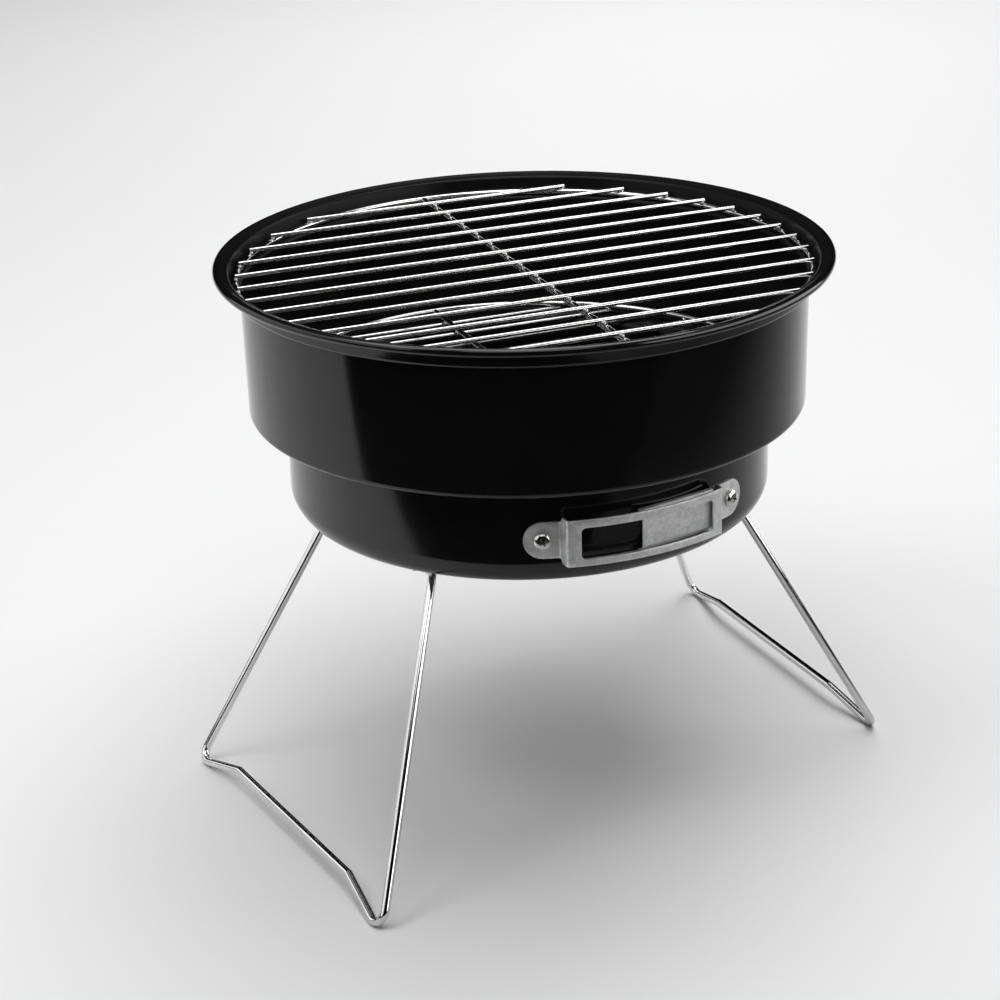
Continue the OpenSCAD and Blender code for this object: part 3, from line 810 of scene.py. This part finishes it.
for side, word in ((-1, "left"), (1, "right")):
    splayed = [(s * math.sin(SPLAY), u, PIVOT_Z - s * math.cos(SPLAY)) for u, s, _ in leg_route()]
    leg = new_object(f"{word}_leg_wire", *tube(moved(splayed, at_hinge(side)), LEG_WIRE, 28))
    piece(finished_mesh(leg), f"{word}_leg", "leg_chrome", leg_chrome, f"{word}_leg")


# ---- Grates ----
def ring_mesh(radius, z):
    """A grate's ring wire."""
    steps = 200
    points = [(radius * math.cos(a), radius * math.sin(a), z) for a in
              (2 * math.pi * k / steps for k in range(steps))]
    return tube(points, RING_WIRE, 20, closed=True)


def blob(centre, size):
    """A flattened weld nugget."""
    bm = bmesh.new()
    bmesh.ops.create_icosphere(bm, subdivisions=2, radius=1)
    verts = [tuple(Vector(centre) + Vector([p * s for p, s in zip(v.co, size)])) for v in bm.verts]
    faces = [[v.index for v in f.verts] for f in bm.faces]
    bm.free()
    return verts, faces


def grate(body, ring_r, ring_z, bar_z, count, pitch, end_r, cross_x):
    """A ring, its parallel bars, one crossbar and the spot welds that hold them together."""
    ring = new_object(f"{body}_ring_wire", *ring_mesh(ring_r, ring_z))
    bars, welds = [], []
    pick = random.Random(body)
    weld_z = (ring_z * BAR_WIRE + bar_z * RING_WIRE) / (RING_WIRE + BAR_WIRE)
    for i in range(count):
        y = (i - (count - 1) / 2) * pitch
        half = math.sqrt(end_r ** 2 - y * y)
        start = Vector((-half + pick.uniform(*END_SCATTER), y, bar_z))
        end = Vector((half - pick.uniform(*END_SCATTER), y, bar_z))
        steps = 12
        line = [tuple(start.lerp(end, k / steps)) for k in range(steps + 1)]
        bars.append(tube(line, BAR_WIRE, 18, chamfer=0.22))
        reach = math.sqrt(ring_r ** 2 - y * y)
        welds += [blob((s * reach, y, weld_z), RING_WELD) for s in (-1, 1)]
        welds.append(blob((cross_x, y, weld_z), CROSS_WELD))
    half = math.sqrt((ring_r - RING_WIRE - 0.05) ** 2 - (abs(cross_x) + RING_WIRE) ** 2)
    cross = new_object(f"{body}_cross_wire",
                       *tube([(cross_x, -half, ring_z), (cross_x, half, ring_z)], RING_WIRE, 20))
    made = {"ring": ring, "crossbar": cross, "bars": new_object(f"{body}_wires", *join(bars))}
    for word, obj in made.items():
        obj.data.transform(Matrix.Rotation(GRATE_TURN, 4, "Z"))
        piece(finished_mesh(obj), body, "grate_chrome", grate_chrome, f"{body}_{word}")
    nuggets = new_object(f"{body}_welds", *join(welds))
    nuggets.data.transform(Matrix.Rotation(GRATE_TURN, 4, "Z"))
    piece(finished_mesh(nuggets, 180), body, "grate_chrome", grate_chrome)


grate("cooking_grate", COOK_RING_R, COOK_RING_Z, COOK_BAR_Z,
      COOK_BARS, COOK_PITCH, COOK_END_R, COOK_CROSS_X)
grate("charcoal_grate", COAL_RING_R, COAL_RING_Z, COAL_BAR_Z,
      COAL_BARS, COAL_PITCH, COAL_END_R, 0)


# ---- Stage: floor, lights and camera ----
CAMERA_HEADING = math.radians(28.2376)
CAMERA_TILT = math.radians(22.4475)
CAMERA_ROLL = math.radians(-1.7508)
CAMERA_PLACE = (-0.5134, -0.9261, 0.5681)
CAMERA_LENS, CAMERA_SENSOR = 86.4, 36

# The stage is laid out along the camera's own heading: the first number is to its right and
# the second away from it
ALONG = Matrix.Rotation(-CAMERA_HEADING, 4, "Z")
FLOOR_FAR = 6.0
FLOOR_TONE = (0.80, 0.80, 0.805)


def stage_plane(name, corners, material):
    """A flat sheet from its corners in stage directions."""
    mesh = bpy.data.meshes.new(name)
    mesh.from_pydata([ALONG @ Vector(c) for c in corners], [], [list(range(len(corners)))])
    mesh.materials.append(material)
    obj = add_object(name, mesh)
    return obj


def floor_material(name):
    """The floor's material, with its tree and makers for whoever adds to it."""
    mat, tree, bsdf, coords, node = shader(name)
    bsdf.inputs["Base Color"].default_value = (*FLOOR_TONE, 1)
    bsdf.inputs["Roughness"].default_value = 0.9
    bsdf.inputs["Specular IOR Level"].default_value = 0.1
    return mat, tree, bsdf, coords, node


floor_corners = [(x * FLOOR_FAR, y * FLOOR_FAR, 0) for x, y in ((-1, -1), (1, -1), (1, 1), (-1, 1))]
floor = stage_plane("floor_sheet", floor_corners, floor_material("floor")[0])
# The glossy parts reflect a sheet of their own in place of this floor
floor.visible_glossy = False

# What the glossy parts reflect: a pale sheet that ends on a slanting line in front of the grill
# and darkens towards the front right, where the studio is dark
sheet_mat, tree, bsdf, coords, node = floor_material("reflected_sheet")
FADE_HEADING = CAMERA_HEADING + math.radians(45)
SHEET_LIFT = 0.0002
SHEET_FRONT = ((-FLOOR_FAR, -0.27), (-0.5, -0.25), (-0.3, -0.30),
               (0.9, -0.593), (FLOOR_FAR, -0.593))
across = node("Mapping", Vector=coords)
across.inputs["Rotation"].default_value = (0, 0, FADE_HEADING)
across.inputs["Location"].default_value = (0.1, 0, 0)
to_front_right = node("SeparateXYZ", Vector=across.outputs["Vector"]).outputs["X"]
tone = ramp(node, to_front_right, (0.05, FLOOR_TONE), (0.68, 0.02))
tree.links.new(tone, bsdf.inputs["Base Color"])
sheet_outline = (*SHEET_FRONT, (FLOOR_FAR, FLOOR_FAR), (-FLOOR_FAR, FLOOR_FAR))
sheet = stage_plane("floor_reflected", [(x, y, SHEET_LIFT) for x, y in sheet_outline], sheet_mat)
sheet.visible_camera = sheet.visible_diffuse = sheet.visible_shadow = False


def area_light(name, place, target, size, power):
    """A rectangular light; its place and target are in stage directions."""
    light = bpy.data.lights.new(name, "AREA")
    light.shape, light.size, light.size_y, light.energy = "RECTANGLE", *size, power
    obj = add_object(name, light)
    obj.location = ALONG @ Vector(place)
    obj.rotation_mode = "QUATERNION"
    obj.rotation_quaternion = (ALONG @ Vector(target) - obj.location).to_track_quat("-Z", "Y")
    return obj


area_light("overhead", (0.15, 0.1, 1.5), (0.15, 0.1, 0), (1.2, 1.0), 12.7)
area_light("ceiling", (0, 0.6, 2.4), (0, 0.6, 0), (3.0, 2.4), 6.6)
# The two lights behind the grill don't show in its reflections
for wash in (area_light("back_wash", (0.3, 2.0, 2.4), (0.2, 1.4, 0), (2.6, 1.6), 30.0),
             area_light("back_glow", (0.3, 1.9, 1.2), (0.3, 1.8, 0), (1.0, 0.8), 6.8)):
    wash.visible_glossy = False
area_light("front_fill", (0, -1.4, 2.2), (0, 0, 0), (1.6, 1.2), 10.2)
area_light("left_key", (-1.2, -0.6, 1.8), (0, 0, 0), (1.0, 1.0), 11.2)
# Pale walls on both sides, which show only in reflections
WALL_Z = 0.75
for name, x, power in (("left_wall", -1.45, 10.0), ("right_wall", 1.45, 26.0)):
    wall = area_light(name, (x, -0.15, WALL_Z), (0, 0, WALL_Z), (2.8, 1.1), power)
    wall.visible_diffuse = wall.visible_camera = False

world = bpy.data.worlds.new("studio")
bpy.context.scene.world = world
world.use_nodes = True
background = world.node_tree.nodes["Background"]
background.inputs["Color"].default_value = (0.86, 0.87, 0.89, 1)
background.inputs["Strength"].default_value = 0.11
world.cycles_visibility.glossy = False

camera_data = bpy.data.cameras.new("camera")
camera_data.lens, camera_data.sensor_width = CAMERA_LENS, CAMERA_SENSOR
camera = add_object("camera", camera_data)
camera.matrix_world = (Matrix.Translation(CAMERA_PLACE) @ ALONG
                       @ Matrix.Rotation(math.radians(90) - CAMERA_TILT, 4, "X")
                       @ Matrix.Rotation(CAMERA_ROLL, 4, "Z"))
bpy.context.scene.camera = camera
bpy.context.scene.view_settings.view_transform = "Standard"
